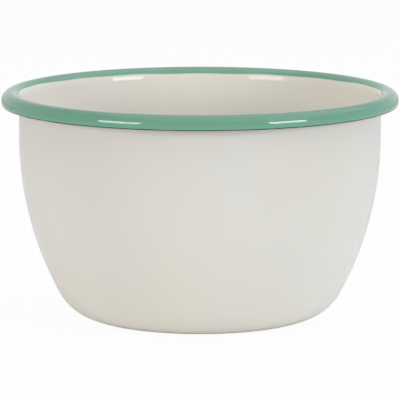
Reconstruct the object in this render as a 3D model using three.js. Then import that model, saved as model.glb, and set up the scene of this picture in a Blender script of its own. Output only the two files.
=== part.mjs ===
// A round enamelled-steel mixing bowl. One deep-drawn steel sheet has its edge rolled outwards and down into a
// half-round rim, which is open below. Cream enamel is fused to the inside and the outside, and green enamel over
// the rim. The dark ground coat lines the hollow of the rim and wraps the sheet's edge, which no colour covers.
// Millimetres, +Z up. The origin is on the table, in the middle of the ring that the bowl stands on.
import * as THREE from "three";

// Overall size
const rimDiameter = 200; // across the outside of the rolled rim
const bowlHeight = 115; // from the table to the top of the rim

// Sheet and coats
const steelThickness = 0.7;
const coatThickness = 0.25; // of the enamel on each side of the steel

// Rolled rim
const rollRadius = 4.9; // over the enamel
const rimDepth = 7.15; // from the top of the rim down to its enamelled edge
const rimFlare = 0.2; // how far the wall leans out before it rolls over
const flareRadius = 14.5; // of that lean, on the inside
const colourLineDrop = 2.8; // from the top of the rim to the line inside where green meets cream

// Side and base, measured on the outside
const uprightBand = 17.1; // straight wall below the flare
const sideRadius = 165; // long curve of the side
const cornerRadius = 24; // curve between the side and the base
const ringWidth = 6; // flat ring that the bowl stands on
const panelRise = 1.2; // the middle of the base is pushed up this far clear of the table
const stepRadius = 8; // of the two bends between the ring and the raised middle

// Facets round the bowl and along each arc of its section
const roundFacets = 44;
const stepFacets = 1;
const cornerFacets = 5;
const sideFacets = 5;
const flareFacets = 2;
const lineFacets = 1; // from the flare up to the colour line
const rollFacets = 3; // from there to the top of the rim
const outsideFacets = 4; // down to the widest place
const lipFacets = 1; // and on to the sheet's edge
const edgeFacets = 4; // of the enamel round the edge

const halfTurn = Math.PI;
const quarterTurn = Math.PI / 2;

// Each arc of the section has a centre, and its angle follows from the arcs that it runs into.
const wall = steelThickness + 2 * coatThickness;
const steelInside = coatThickness;
const steelOutside = coatThickness + steelThickness;

const rollCentre = new THREE.Vector2(rimDiameter / 2 - rollRadius, bowlHeight - rollRadius);
const lineTurn = Math.asin((bowlHeight - colourLineDrop - rollCentre.y) / rollRadius);

const flareReach = flareRadius - rollRadius;
const flareTurn = Math.acos(1 - rimFlare / flareReach);
const wallInside = rollCentre.x - rollRadius - rimFlare;
const flareCentre = new THREE.Vector2(
  wallInside + flareRadius,
  rollCentre.y - flareReach * Math.sin(flareTurn),
);

// The roll ends where the enamel that rounds the sheet's edge comes down to the rim's depth.
const edgeRadius = wall / 2;
const edgeReach = rollRadius - edgeRadius;
const edgeTurn = -Math.asin((rimDepth - rollRadius - edgeRadius) / edgeReach);
const edgeCentre = new THREE.Vector2(
  rollCentre.x + edgeReach * Math.cos(edgeTurn),
  rollCentre.y + edgeReach * Math.sin(edgeTurn),
);

const sideReach = sideRadius - cornerRadius;
const sideCentre = new THREE.Vector2(wallInside + wall - sideRadius, flareCentre.y - uprightBand);
const sideTurn = Math.asin((sideCentre.y - cornerRadius) / sideReach);
const cornerCentre = new THREE.Vector2(sideCentre.x + sideReach * Math.cos(sideTurn), cornerRadius);

const stepTurn = Math.acos(1 - panelRise / (2 * stepRadius));
const ringInside = cornerCentre.x - ringWidth;
const panelEdge = ringInside - 2 * stepRadius * Math.sin(stepTurn);
const ringBend = new THREE.Vector2(ringInside, stepRadius);
const panelBend = new THREE.Vector2(panelEdge, panelRise - stepRadius);

// Points along an arc, clockwise where the angle falls.
function arc(centre, radius, from, to, facets) {
  return new THREE.EllipseCurve(centre.x, centre.y, radius, radius, from, to, to < from).getPoints(facets);
}

// One face of the layered sheet, from the axis to the colour line. Its depth is measured through the wall from
// the inside surface of the bowl.
function bodyFace(depth) {
  const lift = wall - depth;
  return [
    new THREE.Vector2(0, panelRise + lift),
    ...arc(panelBend, stepRadius + lift, quarterTurn, quarterTurn - stepTurn, stepFacets),
    ...arc(ringBend, stepRadius - lift, -quarterTurn - stepTurn, -quarterTurn, stepFacets).slice(1),
    ...arc(cornerCentre, cornerRadius - lift, -quarterTurn, -sideTurn, cornerFacets),
    ...arc(sideCentre, sideRadius - lift, -sideTurn, 0, sideFacets).slice(1),
    ...arc(flareCentre, flareRadius - depth, halfTurn, halfTurn - flareTurn, flareFacets),
    ...arc(rollCentre, rollRadius - depth, halfTurn - flareTurn, halfTurn - lineTurn, lineFacets).slice(1),
  ];
}

// The same face from the colour line, over the top and down the outside to the sheet's edge.
function rimFace(depth) {
  return [
    ...arc(rollCentre, rollRadius - depth, halfTurn - lineTurn, quarterTurn, rollFacets),
    ...arc(rollCentre, rollRadius - depth, quarterTurn, 0, outsideFacets).slice(1),
    ...arc(rollCentre, rollRadius - depth, 0, edgeTurn, lipFacets).slice(1),
  ];
}

// The ground coat's face against the steel, on past the cut edge and round the outside of its bead of enamel.
function groundFace() {
  return [
    ...rimFace(steelOutside),
    rimFace(steelInside).at(-1),
    rimFace(0).at(-1),
    ...arc(edgeCentre, edgeRadius, edgeTurn, edgeTurn - halfTurn, edgeFacets).slice(1, -1),
  ];
}

// The solid of revolution between two faces of the sheet.
function revolve(nearFace, farFace) {
  const outline = [...nearFace, ...farFace.toReversed()];
  if (nearFace[0].x > 0) outline.push(nearFace[0].clone());
  return new THREE.LatheGeometry(outline.toReversed(), roundFacets).rotateX(quarterTurn);
}

// A coat lies against the steel, so its facets are split along the diagonal that the steel's facets have:
// LatheGeometry's triangles (a, b, d) and (c, d, b) become (a, b, c) and (c, d, a).
function matchDiagonals(geometry) {
  const corners = geometry.index.array;
  for (let facet = 0; facet < corners.length; facet += 6) {
    corners[facet + 2] = corners[facet + 3];
    corners[facet + 5] = corners[facet];
  }
  return geometry;
}

function addPiece(name, geometry, color, roughness, metalness) {
  const mesh = new THREE.Mesh(geometry, new THREE.MeshStandardMaterial({ color, roughness, metalness }));
  mesh.name = name;
  bowl.add(mesh);
}

const bowl = new THREE.Group();

const steelFace = (depth) => [...bodyFace(depth), ...rimFace(depth).slice(1)];
addPiece("steel_pressing", revolve(steelFace(steelInside), steelFace(steelOutside)), 0x85888c, 0.45, 1);

const insideCoat = revolve(bodyFace(0), bodyFace(steelInside));
addPiece("cream_inside_coat", matchDiagonals(insideCoat), 0xd8d3c8, 0.12, 0);

const outsideCoat = revolve(bodyFace(steelOutside), bodyFace(wall));
addPiece("cream_outside_coat", matchDiagonals(outsideCoat), 0xd9d5cc, 0.12, 0);

const rimCoat = revolve(rimFace(0), rimFace(steelInside));
addPiece("green_rim_coat", matchDiagonals(rimCoat), 0x70a68d, 0.15, 0);

const groundCoat = revolve(groundFace(), rimFace(wall));
addPiece("dark_ground_coat", matchDiagonals(groundCoat), 0x23262b, 0.3, 0);

export default bowl;
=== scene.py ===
"""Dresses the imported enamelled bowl: five fused layers as smooth spun pieces, in a small white studio."""

import math

import bmesh
import bpy
from bpy.props import FloatProperty, FloatVectorProperty, IntProperty, PointerProperty
from bpy.types import Operator, Panel, PropertyGroup
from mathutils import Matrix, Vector


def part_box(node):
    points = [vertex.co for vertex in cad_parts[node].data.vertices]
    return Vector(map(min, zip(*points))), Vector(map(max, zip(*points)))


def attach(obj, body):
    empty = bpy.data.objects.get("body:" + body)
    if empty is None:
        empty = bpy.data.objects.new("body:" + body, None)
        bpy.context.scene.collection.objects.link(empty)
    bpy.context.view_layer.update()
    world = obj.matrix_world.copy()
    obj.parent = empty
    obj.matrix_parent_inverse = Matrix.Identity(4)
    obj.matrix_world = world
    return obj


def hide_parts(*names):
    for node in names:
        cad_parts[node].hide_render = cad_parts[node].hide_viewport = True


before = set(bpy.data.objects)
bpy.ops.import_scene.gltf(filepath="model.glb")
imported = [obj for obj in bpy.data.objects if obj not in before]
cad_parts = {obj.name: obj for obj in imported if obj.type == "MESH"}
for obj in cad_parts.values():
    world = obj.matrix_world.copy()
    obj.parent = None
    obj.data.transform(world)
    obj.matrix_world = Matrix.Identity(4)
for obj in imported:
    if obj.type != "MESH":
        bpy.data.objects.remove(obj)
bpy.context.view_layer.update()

bl_info = {
    "name": "Enamel bowl",
    "version": (1, 0, 0),
    "blender": (4, 5, 0),
    "location": "3D View > Sidebar > Enamel bowl",
    "description": "Spins an enamelled steel bowl, coat by coat, and sets up the studio that shows it",
    "category": "Add Mesh",
}

MM = 0.001
QUARTER_TURN = math.radians(90)
HALF_TURN = math.radians(180)
FULL_TURN = math.radians(360)

# Meshes
MERGE_DISTANCE = 0.001 * MM
SHARP_ANGLE = math.radians(35)

# The colour line's mean rise and its waves, in line wanders. A wave has its count round the bowl,
# its height and its start.
LINE_RISE = 0.7
LINE_WAVES = ((2, 1.0, QUARTER_TURN), (4, 0.2, QUARTER_TURN), (7, 0.2, 0), (17, 0.17, 0.1))

# Fired enamel
ENAMEL_IOR = 1.52
GLOSS_SPREAD = 0.06
WARM_TINT = (1.006, 1, 0.985)
COOL_TINT = (0.994, 1, 1.012)
EDGE_RAGGEDNESS = 0.3 * MM

# Studio
WHITE = (1, 1, 1)
FLOOR_REACH = 8
TABLE_CLEARANCE = 0.8 * MM

# Places of a mix node's colour sockets, which share their names with its number and vector sockets
MIX_SHARE = 0
MIX_FIRST = 6
MIX_SECOND = 7
MIX_RESULT = 2

rim_low, rim_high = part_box("green_rim_coat")
sheet_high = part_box("steel_pressing")[1]
hollow_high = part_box("dark_ground_coat")[1]
colour_line_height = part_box("cream_inside_coat")[1].z


def from_srgb(*levels):
    """The linear colour of three display levels from 0 to 255."""
    shares = [level / 255 for level in levels]
    return tuple(s / 12.92 if s <= 0.04045 else ((s + 0.055) / 1.055) ** 2.4 for s in shares)


def length(name, description, default):
    """A length property."""
    return FloatProperty(
        name=name, description=description, default=default, min=0, precision=5,
        subtype="DISTANCE", unit="LENGTH",
    )


def angle(name, description, degrees):
    """An angle property, given in degrees."""
    return FloatProperty(
        name=name, description=description, default=math.radians(degrees), subtype="ANGLE", unit="ROTATION"
    )


def colour(name, description, *levels):
    """A colour property, given in display levels."""
    return FloatVectorProperty(
        name=name, description=description, default=from_srgb(*levels), size=3, min=0, max=1,
        subtype="COLOR",
    )


def number(name, description, default, most=1.0):
    """A plain number property."""
    return FloatProperty(name=name, description=description, default=default, min=0, max=most)


class EnamelBowlSizes(PropertyGroup):
    """Driving sizes of the bowl's section."""

    rim_diameter: length("Rim diameter", "Across the outside of the rolled rim", rim_high.x - rim_low.x)
    bowl_height: length("Height", "From the table to the top of the rim", rim_high.z)
    coat_thickness: length("Coat thickness", "Enamel on each side", rim_high.z - sheet_high.z)
    sheet_thickness: length("Sheet thickness", "Steel under the enamel", sheet_high.z - hollow_high.z)
    colour_line: length("Colour line height", "Where green meets cream inside", colour_line_height)
    roll_radius: length("Roll radius", "Of the rolled rim, over the enamel", 4.9 * MM)
    rim_depth: length("Rim depth", "From the top of the rim down to its enamelled edge", 7.15 * MM)
    rim_flare: length("Rim flare", "How far the wall leans out before it rolls over", 0.2 * MM)
    flare_radius: length("Flare radius", "Curve of that lean, on the inside", 14.5 * MM)
    upright_band: length("Upright band", "Straight wall below the flare", 17.1 * MM)
    side_radius: length("Side radius", "Long curve of the side, outside", 165 * MM)
    corner_radius: length("Corner radius", "Curve between side and base, outside", 24 * MM)
    ring_width: length("Ring width", "Flat ring that the bowl stands on", 6 * MM)
    panel_rise: length("Panel rise", "The middle of the base stands clear by this", 1.2 * MM)
    step_radius: length("Step radius", "Bends between the ring and the raised middle", 8 * MM)
    line_wander: length("Line wander", "How far the dipped colour line strays", 0.7 * MM)
    round_steps: IntProperty(name="Round steps", description="Facets round the bowl", default=192, min=24)
    curve_error: length("Curve error", "How far a facet of the section may cut an arc", 0.005 * MM)


class EnamelBowlFinish(PropertyGroup):
    """Colours and gloss of the coats."""

    # Lighter than the outside cream: painted light that makes up for the shade inside the bowl.
    cream_inside_plus_painted_light: colour("Cream inside", "Enamel inside the bowl", 232, 228, 217)
    cream_outside: colour("Cream outside", "Enamel outside the bowl", 206, 202, 192)
    green: colour("Green", "Enamel on the rim", 98, 150, 124)
    halo: colour("Halo", "Thin green over cream at the colour line", 206, 214, 202)
    ground: colour("Ground coat", "Dark enamel in the hollow rim", 26, 28, 31)
    scuff: colour("Scuff", "Grey rub marks on the standing ring", 168, 165, 158)
    steel: colour("Steel", "Sheet under the enamel", 150, 152, 155)
    gloss: number("Enamel roughness", "Roughness of clean enamel", 0.04)


class EnamelBowlStudio(PropertyGroup):
    """The camera, the lamps, the room and the floor."""

    distance: length("Camera distance", "From the camera to the middle of the bowl", 1.862)
    elevation: angle("Camera elevation", "How far the camera looks down", 9.06)
    aim_height: length("Aim height", "Height of the point the camera looks at", 58.74 * MM)
    lens: FloatProperty(
        name="Lens", description="Focal length in millimetres", default=331.1, min=1, unit="CAMERA"
    )
    left_turn: angle("Left turn", "How far the left softbox stands to the side of the camera", 46.2)
    right_turn: angle("Right turn", "How far the right softbox stands to the side of the camera", 50.3)
    lamp_rise: angle("Lamp rise", "How high each side softbox stands", 14)
    lamp_reach: length("Lamp distance", "From a side softbox to the bowl", 1.5)
    lamp_height: length("Lamp height", "Height of a side softbox", 0.44)
    left_width: length("Left width", "Width of the left softbox", 0.65)
    right_width: length("Right width", "Width of the right softbox", 0.58)
    left_level: number("Left level", "Brightness of the left softbox, where 1 is white", 9.4, 100)
    right_level: number("Right level", "Brightness of the right softbox", 11.6, 100)
    left_tint: colour("Left tint", "Colour of the left softbox", 255, 255, 255)
    right_tint: colour("Right tint", "Colour of the right softbox", 243, 250, 255)
    overhead_lean: angle("Overhead lean", "How far the softbox over the bowl stands to the right", 15)
    overhead_size: length("Overhead size", "Side of the square softbox over the bowl", 3)
    overhead_reach: length("Overhead distance", "From that softbox to the bowl", 1.8)
    overhead_level: number("Overhead level", "Brightness of the softbox over the bowl", 0.64, 100)
    table_size: length("Table size", "Side of the lit table top that the bowl stands on", 0.7)
    table_level: number("Table level", "Brightness of the lit table top", 0.33, 10)
    room_level: number("Room level", "Light from the room's pale walls", 0.58, 10)
    room_back: number("Room back", "How much brighter the room is behind the bowl than at its sides", 1.0)
    room_left: colour("Left wall", "Colour of the room on the left", 226, 217, 217)
    room_right: colour("Right wall", "Colour of the room on the right", 226, 233, 253)
    mirrored_level: number("Mirrored level", "The room's walls, as seen in the gloss", 0.86, 10)
    floor: colour("Floor", "Colour of the floor", 243, 243, 242)
    floor_glow: number("Floor glow", "How far the floor is lifted to white in the picture", 0.95)
    mirrored_glow: number("Mirrored glow", "The same for the floor as seen in the gloss", 0.03)


class Section:
    """The arcs that the sheet follows. A face of a layer is an offset of them, by its depth in the wall."""

    def __init__(self, sizes):
        self.sizes = sizes
        self.wall = sizes.sheet_thickness + 2 * sizes.coat_thickness
        self.steel_inside = sizes.coat_thickness
        self.steel_outside = sizes.coat_thickness + sizes.sheet_thickness

        roll = sizes.roll_radius
        self.roll_centre = Vector((sizes.rim_diameter / 2 - roll, 0, sizes.bowl_height - roll))
        self.line_turn = math.asin((sizes.colour_line - self.roll_centre.z) / roll)

        flare_reach = sizes.flare_radius - roll
        self.flare_turn = math.acos(1 - sizes.rim_flare / flare_reach)
        wall_inside = self.roll_centre.x - roll - sizes.rim_flare
        flare_height = self.roll_centre.z - flare_reach * math.sin(self.flare_turn)
        self.flare_centre = Vector((wall_inside + sizes.flare_radius, 0, flare_height))

        edge_radius = self.wall / 2
        edge_drop = math.asin((sizes.rim_depth - roll - edge_radius) / (roll - edge_radius))
        self.edge_way = Vector((math.cos(edge_drop), 0, -math.sin(edge_drop)))
        self.edge_centre = self.edge_place(edge_radius)
        self.rim_turn = HALF_TURN - self.line_turn + edge_drop

        side_reach = sizes.side_radius - sizes.corner_radius
        side_height = flare_height - sizes.upright_band
        self.side_centre = Vector((wall_inside + self.wall - sizes.side_radius, 0, side_height))
        self.side_turn = math.asin((side_height - sizes.corner_radius) / side_reach)
        corner_place = self.side_centre.x + side_reach * math.cos(self.side_turn)
        self.corner_centre = Vector((corner_place, 0, sizes.corner_radius))

        self.step_turn = math.acos(1 - sizes.panel_rise / (2 * sizes.step_radius))
        ring_inside = corner_place - sizes.ring_width
        self.panel_edge = ring_inside - 2 * sizes.step_radius * math.sin(self.step_turn)
        self.ring_bend = Vector((ring_inside, 0, sizes.step_radius))
        self.panel_bend = Vector((self.panel_edge, 0, sizes.panel_rise - sizes.step_radius))

    def draw_body(self, bm, depth):
        """Draws a face from the axis to the colour line."""
        lift = self.wall - depth
        floor = self.sizes.panel_rise + lift
        pen = Pen(bm, Vector((0, 0, floor)), self.sizes.curve_error)
        pen.run_to(Vector((self.panel_edge, 0, floor)))
        pen.bend(self.panel_bend, -self.step_turn)
        pen.bend(self.ring_bend, self.step_turn)
        pen.run_to(Vector((self.corner_centre.x, 0, lift)))
        pen.bend(self.corner_centre, QUARTER_TURN - self.side_turn)
        pen.bend(self.side_centre, self.side_turn)
        pen.run_to(Vector((pen.tip.co.x, 0, self.flare_centre.z)))
        pen.bend(self.flare_centre, -self.flare_turn)
        pen.bend(self.roll_centre, self.flare_turn - self.line_turn)
        return pen

    def draw_rim(self, bm, depth, pen=None):
        """Draws a face from the colour line over the rim to the sheet's edge, or carries a body face on."""
        if pen is None:
            lean = Vector((-math.cos(self.line_turn), 0, math.sin(self.line_turn)))
            place = self.roll_centre + (self.sizes.roll_radius - depth) * lean
            pen = Pen(bm, place, self.sizes.curve_error)
        pen.bend(self.roll_centre, -self.rim_turn)
        return pen

    def draw_sheet(self, bm, depth):
        """Draws a face from the axis to the sheet's edge."""
        return self.draw_rim(bm, depth, self.draw_body(bm, depth))

    def draw_hollow(self, bm):
        """Draws the ground coat: along the steel, round the sheet's edge and back along the hollow."""
        pen = self.draw_rim(bm, self.steel_outside)
        pen.run_to(self.edge_place(self.steel_inside))
        pen.run_to(self.edge_place(0))
        pen.bend(self.edge_centre, -HALF_TURN)
        pen.bend(self.roll_centre, self.rim_turn)
        return pen

    def edge_place(self, depth):
        """Where the sheet ends, at a depth in the wall."""
        return self.roll_centre + (self.sizes.roll_radius - depth) * self.edge_way


class Pen:
    """Draws a line of edges in the plane y = 0."""

    def __init__(self, bm, place, curve_error):
        self.bm = bm
        self.curve_error = curve_error
        self.start = bm.verts.new(place)
        self.tip = self.start

    def run_to(self, place):
        """Carries the line straight on to a place."""
        self.tip = bmesh.ops.extrude_vert_indiv(self.bm, verts=[self.tip])["verts"][0]
        self.tip.co = place

    def bend(self, centre, turn):
        """Carries the line on round a centre. A positive turn goes from +X towards +Z."""
        radius = (self.tip.co - centre).length
        facet_turn = 2 * math.acos(1 - self.curve_error / radius)
        steps = math.ceil(abs(turn) / facet_turn)
        made = bmesh.ops.spin(
            self.bm, geom=[self.tip], cent=centre, axis=(0, -1, 0), angle=turn, steps=steps
        )
        self.tip = next(part for part in made["geom_last"] if isinstance(part, bmesh.types.BMVert))


def spin_section(bm, sizes):
    """Spins a closed section round the bowl's axis."""
    bmesh.ops.spin(
        bm, geom=bm.verts[:] + bm.edges[:], cent=(0, 0, 0), axis=(0, 0, 1), angle=FULL_TURN,
        steps=sizes.round_steps, use_merge=True,
    )
    bmesh.ops.remove_doubles(bm, verts=bm.verts[:], dist=MERGE_DISTANCE)
    bmesh.ops.recalc_face_normals(bm, faces=bm.faces[:])


def spin_layer(section, draw, near_depth, far_depth):
    """Spins the solid layer between two faces of the sheet, each drawn at its depth in the wall."""
    bm = bmesh.new()
    near = draw(bm, near_depth)
    far = draw(bm, far_depth)
    bm.edges.new((near.tip, far.tip))
    if near.start.co.x > section.sizes.curve_error:
        bm.edges.new((near.start, far.start))
    spin_section(bm, section.sizes)
    return bm


def stray(bearing):
    """How far the dipped colour line strays up the roll, in line wanders: most at the sides."""
    return LINE_RISE + sum(high * math.sin(count * bearing + start) for count, high, start in LINE_WAVES)


def shift_colour_line(bm, section, still_turn):
    """Slides the coat's edge along the roll to the dipped line, and notes how far each vertex is from it.

    The roll stays put from still_turn on.
    """
    sizes = section.sizes
    roll_reach = 1.5 * sizes.coat_thickness
    to_line = bm.verts.layers.float.new("to_line")
    for vert in bm.verts:
        place = Vector((math.hypot(vert.co.x, vert.co.y), 0, vert.co.z))
        arm = place - section.roll_centre
        if abs(sizes.roll_radius - arm.length) > roll_reach:
            vert[to_line] = sizes.bowl_height
            continue
        bearing = math.atan2(vert.co.y, vert.co.x)
        turn = QUARTER_TURN - math.atan2(-arm.x, arm.z)
        strayed = stray(bearing) * sizes.line_wander / arm.length
        share_moved = (turn - still_turn) / (section.line_turn - still_turn)
        turn += max(0, share_moved) * strayed
        vert[to_line] = abs(section.line_turn + strayed - turn) * arm.length
        radius = section.roll_centre.x - arm.length * math.cos(turn)
        height = section.roll_centre.z + arm.length * math.sin(turn)
        vert.co = (radius * math.cos(bearing), radius * math.sin(bearing), height)


def place_piece(bm, name, material, node):
    """Makes the finished mesh a piece that stands for a CAD node."""
    if not bm.faces:
        raise RuntimeError(f"{name} has no faces")
    mesh = bpy.data.meshes.new(name)
    for face in bm.faces:
        face.smooth = True
    bm.to_mesh(mesh)
    bm.free()
    mesh.set_sharp_from_angle(angle=SHARP_ANGLE)
    mesh.materials.append(material)
    piece = bpy.data.objects.new(name, mesh)
    bpy.context.scene.collection.objects.link(piece)
    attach(piece, "root")
    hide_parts(node)


class Nodes:
    """The nodes of a material or a world, with a short way to add a node and feed its inputs."""

    def __init__(self, owner):
        owner.use_nodes = True
        self.tree = owner.node_tree
        self.tree.nodes.clear()

    def add(self, kind, inputs=None, **settings):
        """Adds a node. An input that is a socket is linked, and any other is set."""
        node = self.tree.nodes.new(kind)
        for key, value in settings.items():
            setattr(node, key, value)
        for key, value in (inputs or {}).items():
            if isinstance(value, bpy.types.NodeSocket):
                self.tree.links.new(value, node.inputs[key])
            else:
                node.inputs[key].default_value = value
        return node

    def maths(self, operation, *values):
        """One sum on numbers or sockets."""
        return self.add("ShaderNodeMath", dict(enumerate(values)), operation=operation).outputs[0]

    def mix(self, share_of_second, first, second):
        """A blend of two colours."""
        inputs = {MIX_SHARE: share_of_second, MIX_FIRST: opaque(first), MIX_SECOND: opaque(second)}
        return self.add("ShaderNodeMix", inputs, data_type="RGBA").outputs[MIX_RESULT]

    def mix_shader(self, share_of_second, first, second):
        """A blend of two shaders."""
        return self.add("ShaderNodeMixShader", {0: share_of_second, 1: first, 2: second}).outputs[0]

    def axes(self, vector):
        """The three numbers of a vector, by the names of its axes."""
        return self.add("ShaderNodeSeparateXYZ", {"Vector": vector}).outputs

    def by_ray(self, seen, mirrored):
        """A number for what the camera sees and one for what gloss or glass shows. Falling light gets 0."""
        path = self.add("ShaderNodeLightPath").outputs
        gloss = self.maths("MAXIMUM", path["Is Glossy Ray"], path["Is Transmission Ray"])
        in_gloss = self.maths("MULTIPLY", gloss, mirrored)
        return self.maths("MULTIPLY_ADD", path["Is Camera Ray"], seen, in_gloss)


class Finish(Nodes):
    """A piece's material. Its patterns lie on the piece's own coordinates, in metres."""

    def __init__(self, name):
        self.material = bpy.data.materials.new(name)
        super().__init__(self.material)
        self.place = self.add("ShaderNodeTexCoord").outputs["Object"]

    def noted(self, name):
        """A number noted on the mesh's vertices."""
        return self.add("ShaderNodeAttribute", attribute_name=name).outputs["Fac"]

    def noise(self, scale, detail, place=None):
        """Cloudy noise from 0 to 1. The scale is in waves per metre."""
        inputs = {"Vector": place or self.place, "Scale": scale, "Detail": detail}
        return self.add("ShaderNodeTexNoise", inputs).outputs["Fac"]

    def ramp(self, value, low, high):
        """0 where value is at low, 1 at high, with a soft start and end."""
        inputs = {"Value": value, "From Min": low, "From Max": high}
        return self.add("ShaderNodeMapRange", inputs, interpolation_type="SMOOTHSTEP").outputs["Result"]

    def bump(self, height, depth, normal=None):
        """A normal that follows height, where 1 stands depth above 0."""
        inputs = {"Height": height, "Distance": depth, "Strength": 1.0}
        if normal is not None:
            inputs["Normal"] = normal
        return self.add("ShaderNodeBump", inputs).outputs["Normal"]

    def surface(self, **inputs):
        """Ends the material in a surface shader."""
        named = {key.replace("_", " "): value for key, value in inputs.items()}
        shader = self.add("ShaderNodeBsdfPrincipled", named)
        self.add("ShaderNodeOutputMaterial", {"Surface": shader.outputs["BSDF"]})
        return self.material


def opaque(value):
    """A colour with full alpha; a socket stays as it is."""
    return value if isinstance(value, bpy.types.NodeSocket) else (*value, 1.0)


def scaled(value, factor):
    """A colour made darker or lighter."""
    return tuple(min(1.0, level * factor) for level in value)


def tinted(value, tint):
    """A colour with each channel scaled by a tint."""
    return tuple(level * share for level, share in zip(value, tint))


def enamel_skin(finish):
    """The skin of fired enamel: slow waves from the pressing and a fine orange peel."""
    waves = finish.bump(finish.noise(scale=32, detail=1), depth=0.02 * MM)
    return finish.bump(finish.noise(scale=330, detail=2), depth=0.003 * MM, normal=waves)


def enamel_roughness(finish, clean):
    """Gloss that varies a little from place to place."""
    uneven = finish.noise(scale=55, detail=3)
    return finish.maths("MULTIPLY_ADD", uneven, GLOSS_SPREAD, clean - GLOSS_SPREAD / 2)


def clouded(finish, base):
    """A fired colour with faint clouds of a warmer and a cooler tone."""
    clouds = finish.ramp(finish.noise(scale=18, detail=3), low=0.35, high=0.65)
    return finish.mix(clouds, tinted(base, WARM_TINT), tinted(base, COOL_TINT))


def cream_inside_material(colours):
    """Cream enamel with the thin green halo under the colour line. Its cream is lighter than the outside
    cream, as painted light that makes up for the shade inside the bowl.
    """
    finish = Finish("cream_enamel_inside")
    cream = clouded(finish, colours.cream_inside_plus_painted_light)
    halo = finish.ramp(finish.noted("to_line"), low=0.9 * MM, high=0)
    return finish.surface(
        Base_Color=finish.mix(halo, cream, colours.halo),
        Roughness=enamel_roughness(finish, colours.gloss),
        Normal=enamel_skin(finish),
        IOR=ENAMEL_IOR,
        Specular_IOR_Level=0.21,
    )


def cream_outside_material(colours):
    """Cream enamel, rubbed grey and dull on the standing ring."""
    finish = Finish("cream_enamel_outside")
    cream = clouded(finish, colours.cream_outside)
    on_ring = finish.ramp(finish.axes(finish.place)["Z"], low=0.15 * MM, high=0.02 * MM)
    rubbed = finish.ramp(finish.noise(scale=260, detail=4), low=0.54, high=0.7)
    scuffs = finish.maths("MULTIPLY", on_ring, rubbed)
    dulling = 0.4
    return finish.surface(
        Base_Color=finish.mix(scuffs, cream, colours.scuff),
        Roughness=finish.maths("MULTIPLY_ADD", scuffs, dulling, enamel_roughness(finish, colours.gloss)),
        Normal=enamel_skin(finish),
        IOR=ENAMEL_IOR,
    )


def green_material(colours, section):
    """Green enamel, lighter where it thins to the colour line, with the ground coat showing at its edge."""
    finish = Finish("green_enamel")
    thinness = finish.ramp(finish.noted("to_line"), low=6.5 * MM, high=2.3 * MM)
    run = finish.mix(thinness, colours.green, scaled(colours.green, 1.24))
    patches = finish.ramp(finish.noise(scale=45, detail=3), low=0.3, high=0.7)
    half_patches = finish.maths("MULTIPLY", patches, 0.5)
    fired = finish.mix(half_patches, run, scaled(colours.green, 1.04))
    height = finish.axes(finish.place)["Z"]
    lowest_edge = section.edge_place(0).z - EDGE_RAGGEDNESS / 2
    ragged_edge = finish.maths(
        "MULTIPLY_ADD", finish.noise(scale=240, detail=3), EDGE_RAGGEDNESS, lowest_edge
    )
    burnt = finish.ramp(finish.maths("SUBTRACT", height, ragged_edge), low=0.2 * MM, high=0)
    return finish.surface(
        Base_Color=finish.mix(burnt, fired, colours.ground),
        Roughness=enamel_roughness(finish, colours.gloss),
        Normal=enamel_skin(finish),
        IOR=ENAMEL_IOR,
    )


def ground_material(colours):
    """Thin dark ground enamel, burnt dull and pebbled."""
    finish = Finish("ground_enamel")
    patches = finish.ramp(finish.noise(scale=160, detail=4), low=0.3, high=0.7)
    least_rough, rough_spread = 0.45, 0.15
    return finish.surface(
        Base_Color=finish.mix(patches, scaled(colours.ground, 0.8), scaled(colours.ground, 1.3)),
        Roughness=finish.maths("MULTIPLY_ADD", patches, rough_spread, least_rough),
        Normal=finish.bump(finish.noise(scale=900, detail=3), depth=0.02 * MM),
        Specular_IOR_Level=0.25,
    )


def steel_material(colours):
    """Bare pressed sheet with drawing marks round the bowl."""
    finish = Finish("sheet_steel")
    squeezed = finish.add("ShaderNodeMapping", {"Vector": finish.place, "Scale": (1, 1, 30)})
    marks = finish.noise(scale=120, detail=4, place=squeezed.outputs["Vector"])
    least_rough, rough_spread = 0.3, 0.2
    return finish.surface(
        Base_Color=finish.mix(marks, scaled(colours.steel, 0.85), scaled(colours.steel, 1.1)),
        Roughness=finish.maths("MULTIPLY_ADD", marks, rough_spread, least_rough),
        Metallic=1.0,
    )


class ENAMELBOWL_OT_steel_pressing(Operator):
    """Spins the deep-drawn sheet with its rolled edge"""

    bl_idname = "enamelbowl.steel_pressing"
    bl_label = "Steel pressing"

    def execute(self, context):
        section = Section(context.scene.enamel_bowl_sizes)
        bm = spin_layer(section, section.draw_sheet, section.steel_inside, section.steel_outside)
        material = steel_material(context.scene.enamel_bowl_finish)
        place_piece(bm, "pressed_sheet", material, "steel_pressing")
        return {"FINISHED"}


class ENAMELBOWL_OT_cream_coats(Operator):
    """Spins the cream enamel inside and outside"""

    bl_idname = "enamelbowl.cream_coats"
    bl_label = "Cream coats"

    def execute(self, context):
        section = Section(context.scene.enamel_bowl_sizes)
        colours = context.scene.enamel_bowl_finish

        bm = spin_layer(section, section.draw_body, 0, section.steel_inside)
        shift_colour_line(bm, section, section.flare_turn)
        material = cream_inside_material(colours)
        place_piece(bm, "enamel_inside", material, "cream_inside_coat")

        bm = spin_layer(section, section.draw_body, section.steel_outside, section.wall)
        material = cream_outside_material(colours)
        place_piece(bm, "enamel_outside", material, "cream_outside_coat")
        return {"FINISHED"}


class ENAMELBOWL_OT_green_rim(Operator):
    """Spins the green enamel over the rolled rim"""

    bl_idname = "enamelbowl.green_rim"
    bl_label = "Green rim"

    def execute(self, context):
        section = Section(context.scene.enamel_bowl_sizes)
        bm = spin_layer(section, section.draw_rim, 0, section.steel_inside)
        shift_colour_line(bm, section, QUARTER_TURN)
        material = green_material(context.scene.enamel_bowl_finish, section)
        place_piece(bm, "enamel_rim", material, "green_rim_coat")
        return {"FINISHED"}


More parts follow.
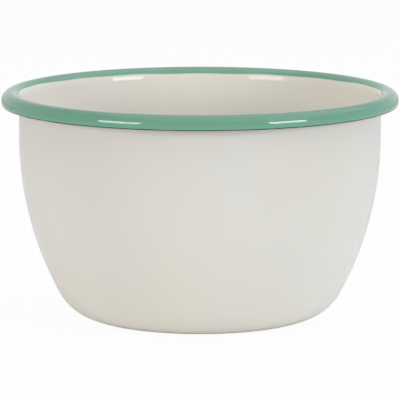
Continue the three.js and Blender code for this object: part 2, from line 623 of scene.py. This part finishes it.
class ENAMELBOWL_OT_ground_coat(Operator):
    """Spins the dark ground enamel in the hollow of the rim and round the sheet's edge"""

    bl_idname = "enamelbowl.ground_coat"
    bl_label = "Ground coat"

    def execute(self, context):
        section = Section(context.scene.enamel_bowl_sizes)
        bm = bmesh.new()
        loop = section.draw_hollow(bm)
        bm.edges.new((loop.tip, loop.start))
        spin_section(bm, section.sizes)
        material = ground_material(context.scene.enamel_bowl_finish)
        place_piece(bm, "enamel_in_hollow", material, "dark_ground_coat")
        return {"FINISHED"}


def white_room(studio):
    """The world: white to the camera, with pale walls that light the bowl and are brightest behind it.

    The walls change softly from one colour on the left to another on the right.
    """
    world = bpy.data.worlds.new("white_room")
    nodes = Nodes(world)
    way = nodes.axes(nodes.add("ShaderNodeTexCoord").outputs["Generated"])
    rightness = nodes.maths("MULTIPLY_ADD", way["X"], 0.5, 0.5)
    tone = nodes.mix(rightness, studio.room_left, studio.room_right)
    gain = studio.room_level * studio.room_back
    level = nodes.maths("MULTIPLY_ADD", way["Y"], gain, studio.room_level)
    walls = nodes.add("ShaderNodeBackground", {"Color": tone, "Strength": level})
    shown = nodes.by_ray(seen=1, mirrored=studio.mirrored_level)
    white = nodes.add("ShaderNodeBackground", {"Color": opaque(WHITE), "Strength": shown})
    is_shown = nodes.by_ray(seen=1, mirrored=1)
    room = nodes.mix_shader(is_shown, walls.outputs[0], white.outputs[0])
    nodes.add("ShaderNodeOutputWorld", {"Surface": room})
    return world


def lay_floor(studio):
    """A wide pale floor that keeps the bowl's shadow."""
    bm = bmesh.new()
    bmesh.ops.create_grid(bm, x_segments=1, y_segments=1, size=FLOOR_REACH)
    mesh = bpy.data.meshes.new("floor")
    bm.to_mesh(mesh)
    bm.free()
    floor = bpy.data.objects.new("floor", mesh)
    bpy.context.scene.collection.objects.link(floor)
    material = bpy.data.materials.new("pale_floor")
    mesh.materials.append(material)
    nodes = Nodes(material)
    matt = nodes.add("ShaderNodeBsdfDiffuse", {"Color": opaque(studio.floor)})
    white = nodes.add("ShaderNodeEmission", {"Color": opaque(WHITE), "Strength": 1.0})
    lift = nodes.by_ray(seen=studio.floor_glow, mirrored=studio.mirrored_glow)
    lifted = nodes.mix_shader(lift, matt.outputs[0], white.outputs[0])
    nodes.add("ShaderNodeOutputMaterial", {"Surface": lifted})


def hang_softbox(name, target, way, reach, size, level, tint=WHITE):
    """A softbox that stands off from a target along way and faces it. At level 1 it looks white."""
    lamp = bpy.data.lights.new(name, "AREA")
    lamp.shape = "RECTANGLE"
    lamp.size, lamp.size_y = size
    lamp.energy = level * math.pi * lamp.size * lamp.size_y
    lamp.color = tint
    softbox = bpy.data.objects.new(name, lamp)
    bpy.context.scene.collection.objects.link(softbox)
    softbox.location = target + way * reach
    softbox.rotation_euler = (-way).to_track_quat("-Z", "Y").to_euler()
    softbox.visible_camera = False
    return softbox


def way_out(turn, rise):
    """The way from the bowl that is turned to the right of the camera's side, and rises from the table."""
    flat = math.cos(rise)
    return Vector((math.sin(turn) * flat, -math.cos(turn) * flat, math.sin(rise)))


def hang_lamps(studio):
    """The softboxes at the camera's sides and over the bowl, and the lit table top, hidden from gloss."""
    target = Vector((0, 0, studio.aim_height))
    for name, turn, width, level, tint in (
        ("softbox_left", -studio.left_turn, studio.left_width, studio.left_level, studio.left_tint),
        ("softbox_right", studio.right_turn, studio.right_width, studio.right_level, studio.right_tint),
    ):
        way = way_out(turn, studio.lamp_rise)
        hang_softbox(name, target, way, studio.lamp_reach, (width, studio.lamp_height), level, tint)

    above = Vector((math.sin(studio.overhead_lean), 0, math.cos(studio.overhead_lean)))
    size = (studio.overhead_size, studio.overhead_size)
    hang_softbox("softbox_above", target, above, studio.overhead_reach, size, studio.overhead_level)

    below = Vector((0, 0, -1))
    drop = studio.aim_height - TABLE_CLEARANCE
    size = (studio.table_size, studio.table_size)
    table = hang_softbox("light_table", target, below, drop, size, studio.table_level)
    table.visible_glossy = False


def set_camera(studio):
    """The camera, in front of the bowl."""
    lens = bpy.data.cameras.new("camera")
    lens.lens = studio.lens
    camera = bpy.data.objects.new("camera", lens)
    scene = bpy.context.scene
    scene.collection.objects.link(camera)
    camera.location = Vector((0, 0, studio.aim_height)) + studio.distance * way_out(0, studio.elevation)
    camera.rotation_euler = (QUARTER_TURN - studio.elevation, 0, 0)
    scene.camera = camera


class ENAMELBOWL_OT_studio(Operator):
    """Sets up the floor, the white room, the lamps and the camera"""

    bl_idname = "enamelbowl.studio"
    bl_label = "Studio"

    def execute(self, context):
        studio = context.scene.enamel_bowl_studio
        context.scene.view_settings.view_transform = "Standard"
        context.scene.world = white_room(studio)
        lay_floor(studio)
        hang_lamps(studio)
        set_camera(studio)
        return {"FINISHED"}


class ENAMELBOWL_PT_sidebar(Panel):
    """Lists the bowl's settings and steps"""

    bl_label = "Enamel bowl"
    bl_idname = "ENAMELBOWL_PT_sidebar"
    bl_space_type = "VIEW_3D"
    bl_region_type = "UI"
    bl_category = "Enamel bowl"

    def draw(self, context):
        for name, kind in GROUPS.items():
            box = self.layout.box()
            for setting in kind.__annotations__:
                box.prop(getattr(context.scene, name), setting)
        for step in STEPS:
            self.layout.operator(step.bl_idname)


GROUPS = {
    "enamel_bowl_sizes": EnamelBowlSizes,
    "enamel_bowl_finish": EnamelBowlFinish,
    "enamel_bowl_studio": EnamelBowlStudio,
}
STEPS = (
    ENAMELBOWL_OT_steel_pressing,
    ENAMELBOWL_OT_cream_coats,
    ENAMELBOWL_OT_green_rim,
    ENAMELBOWL_OT_ground_coat,
    ENAMELBOWL_OT_studio,
)


def register():
    """Registers the settings, the steps and the panel."""
    for kind in (*GROUPS.values(), *STEPS, ENAMELBOWL_PT_sidebar):
        bpy.utils.register_class(kind)
    for name, kind in GROUPS.items():
        setattr(bpy.types.Scene, name, PointerProperty(type=kind))


def unregister():
    """Takes them away again."""
    for name in GROUPS:
        delattr(bpy.types.Scene, name)
    for kind in (ENAMELBOWL_PT_sidebar, *STEPS, *GROUPS.values()):
        bpy.utils.unregister_class(kind)


def main():
    """Builds the bowl and its studio."""
    register()
    bpy.ops.enamelbowl.steel_pressing()
    bpy.ops.enamelbowl.cream_coats()
    bpy.ops.enamelbowl.green_rim()
    bpy.ops.enamelbowl.ground_coat()
    bpy.ops.enamelbowl.studio()


if __name__ == "__main__":
    main()
